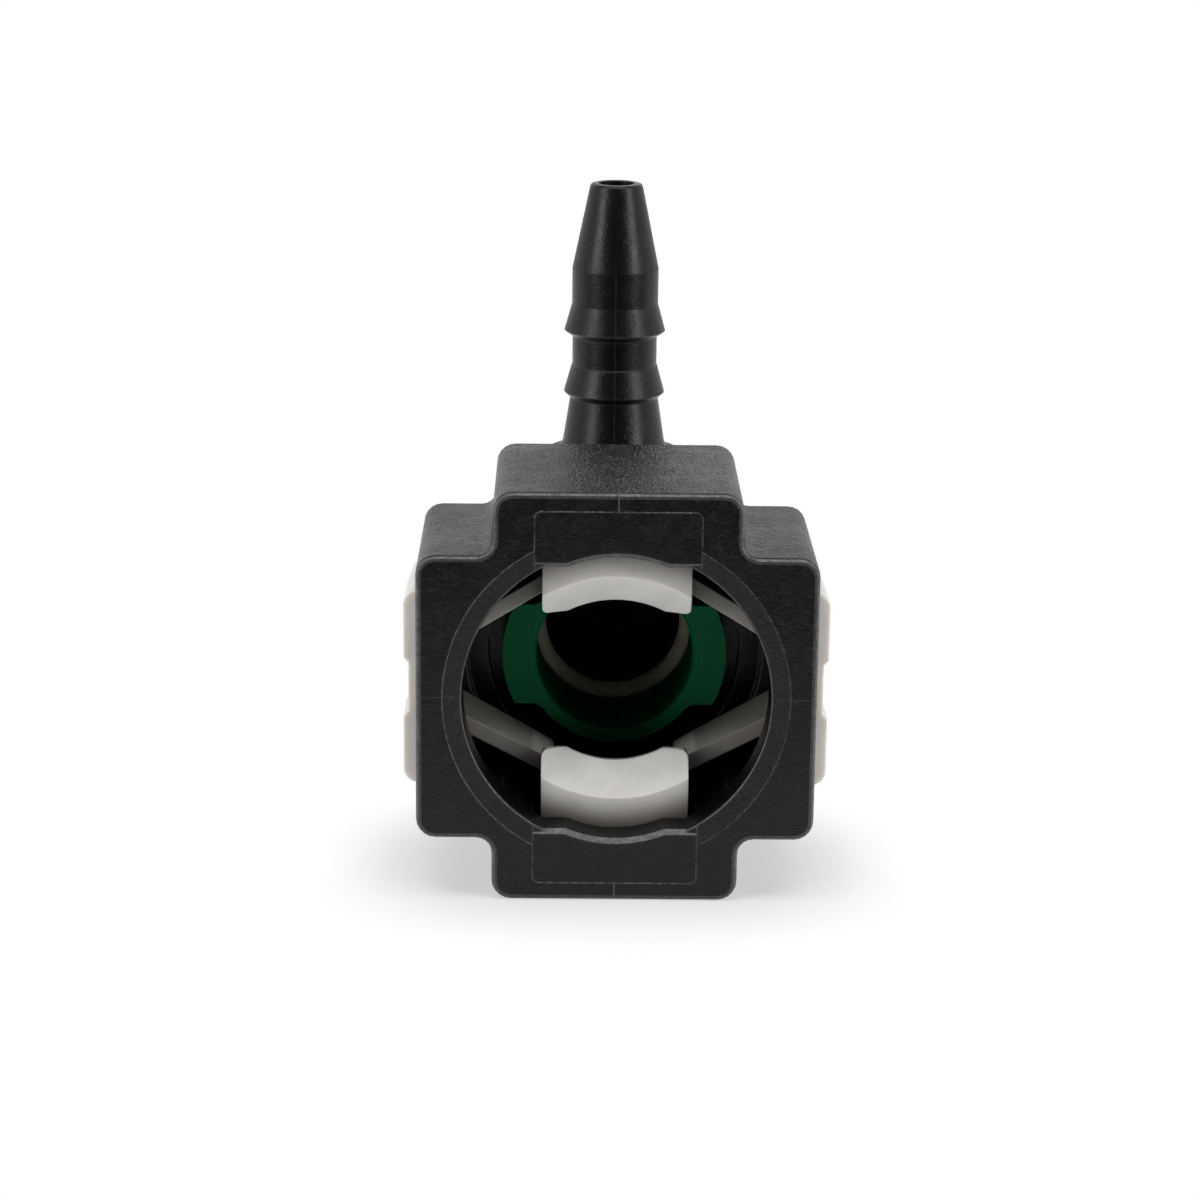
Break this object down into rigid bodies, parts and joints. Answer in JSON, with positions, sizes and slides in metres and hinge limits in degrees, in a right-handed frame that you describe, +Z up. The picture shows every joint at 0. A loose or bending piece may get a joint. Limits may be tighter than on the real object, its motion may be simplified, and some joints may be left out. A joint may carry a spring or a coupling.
{
  "type": "elbow fuel quick connector",
  "caption": "Right-angled plastic fuel-line quick connector with a squeeze-release retainer, a sealed tube socket and a barbed hose stem.",
  "frame": {"origin": "on the tube axis, where the bush's straight bore begins behind the retainer", "axes": "-Y out of the tube socket, +Z up along the hose stem, +X to the right seen from the front"},
  "size_m": [0.0264, 0.0311, 0.0413],
  "materials": {
    "black_nylon": "grained",
    "green_plastic": "smooth",
    "ring_plastic": "smooth",
    "o_ring_rubber": "smooth",
    "dark_rubber": "smooth",
    "retainer_plastic": "satin"
  },
  "bodies": {
    "connector": {"housing": "black_nylon", "retaining_bush": "green_plastic", "backing_ring": "ring_plastic", "front_o_ring": "o_ring_rubber", "spacer_ring": "ring_plastic", "rear_o_ring": "dark_rubber"},
    "right_button": {"right_button": "retainer_plastic"},
    "left_button": {"left_button": "retainer_plastic"},
    "upper_jaw": {"upper_jaw": "retainer_plastic"},
    "lower_jaw": {"lower_jaw": "retainer_plastic"},
    "upper_right_arm": {"upper_right_arm": "retainer_plastic"},
    "upper_left_arm": {"upper_left_arm": "retainer_plastic"},
    "lower_right_arm": {"lower_right_arm": "retainer_plastic"},
    "lower_left_arm": {"lower_left_arm": "retainer_plastic"}
  },
  "joints": [
    {"name": "right_press", "type": "slide", "parent": "connector", "child": "right_button", "axis": [-1, 0, 0], "range_m": [0, 0.0008], "stiffness_N_per_m": 500},
    {"name": "left_press", "type": "slide", "parent": "connector", "child": "left_button", "axis": [1, 0, 0], "range_m": [0, 0.0008]},
    {"name": "upper_jaw_open", "type": "slide", "parent": "connector", "child": "upper_jaw", "axis": [0, 0, 1], "range_m": [0, 0.00113]},
    {"name": "lower_jaw_open", "type": "slide", "parent": "connector", "child": "lower_jaw", "axis": [0, 0, -1], "range_m": [0, 0.00113]},
    {"name": "upper_right_bend", "type": "hinge", "parent": "right_button", "child": "upper_right_arm", "pos_m": [0.0104, -0.00294, 0.00255], "axis": [0, 1, 0], "range_deg": [0, 11.3]},
    {"name": "upper_left_bend", "type": "hinge", "parent": "left_button", "child": "upper_left_arm", "pos_m": [-0.0104, -0.00294, 0.00255], "axis": [0, -1, 0], "range_deg": [0, 11.3]},
    {"name": "lower_right_bend", "type": "hinge", "parent": "right_button", "child": "lower_right_arm", "pos_m": [0.0104, -0.00294, -0.00255], "axis": [0, -1, 0], "range_deg": [0, 11.3]},
    {"name": "lower_left_bend", "type": "hinge", "parent": "left_button", "child": "lower_left_arm", "pos_m": [-0.0104, -0.00294, -0.00255], "axis": [0, 1, 0], "range_deg": [0, 11.3]}
  ],
  "couplings": [
    {"joint": "left_press", "follows": "right_press", "ratio": 1},
    {"joint": "upper_jaw_open", "follows": "right_press", "ratio": 1.4036},
    {"joint": "lower_jaw_open", "follows": "right_press", "ratio": 1.4036},
    {"joint": "upper_right_bend", "follows": "right_press", "rad_per_m": 245.4},
    {"joint": "upper_left_bend", "follows": "right_press", "rad_per_m": 245.4},
    {"joint": "lower_right_bend", "follows": "right_press", "rad_per_m": 245.4},
    {"joint": "lower_left_bend", "follows": "right_press", "rad_per_m": 245.4}
  ]
}
